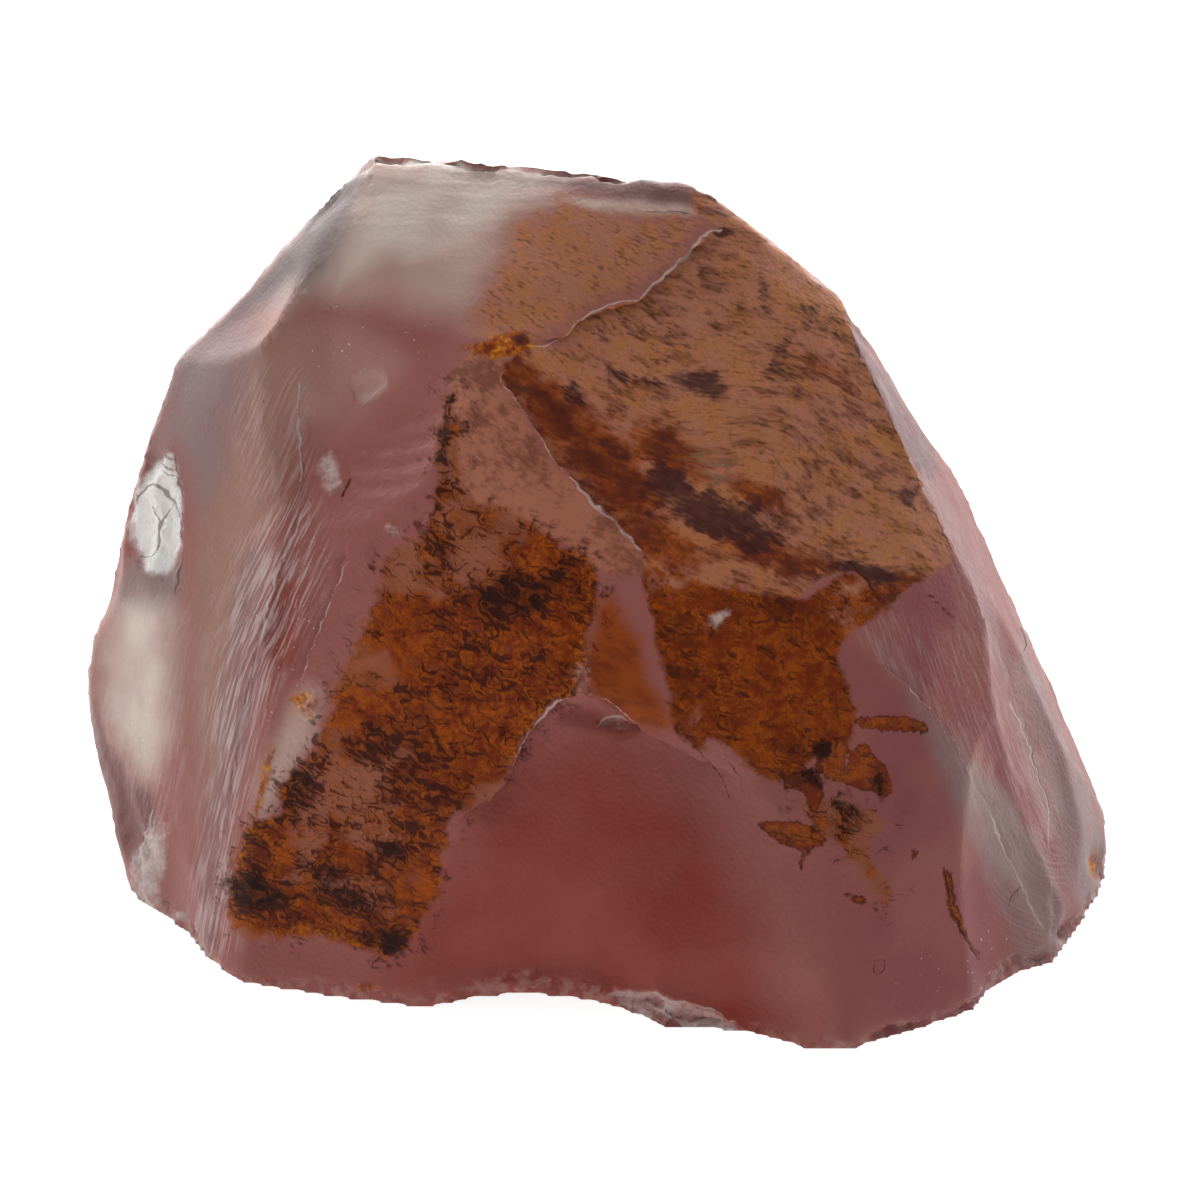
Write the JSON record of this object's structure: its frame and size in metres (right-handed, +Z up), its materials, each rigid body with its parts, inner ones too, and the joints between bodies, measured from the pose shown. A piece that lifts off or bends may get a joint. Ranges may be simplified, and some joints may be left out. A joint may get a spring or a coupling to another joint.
{
  "type": "rose quartz rough",
  "caption": "Rough lump of translucent rose quartz with glassy curved breaks and rust-coloured iron stains, resting on one flat break.",
  "frame": {"origin": "middle of the lump's footprint, on the flat break that it rests on", "axes": "+X to the right along the long side, -Y towards the stained front, +Z up"},
  "size_m": [0.0834, 0.0522, 0.0589],
  "materials": {
    "quartz": "translucent dusky rose with a glassy fracture and brown iron films"
  },
  "bodies": {
    "root": {"rose_quartz": "quartz"}
  },
  "joints": []
}
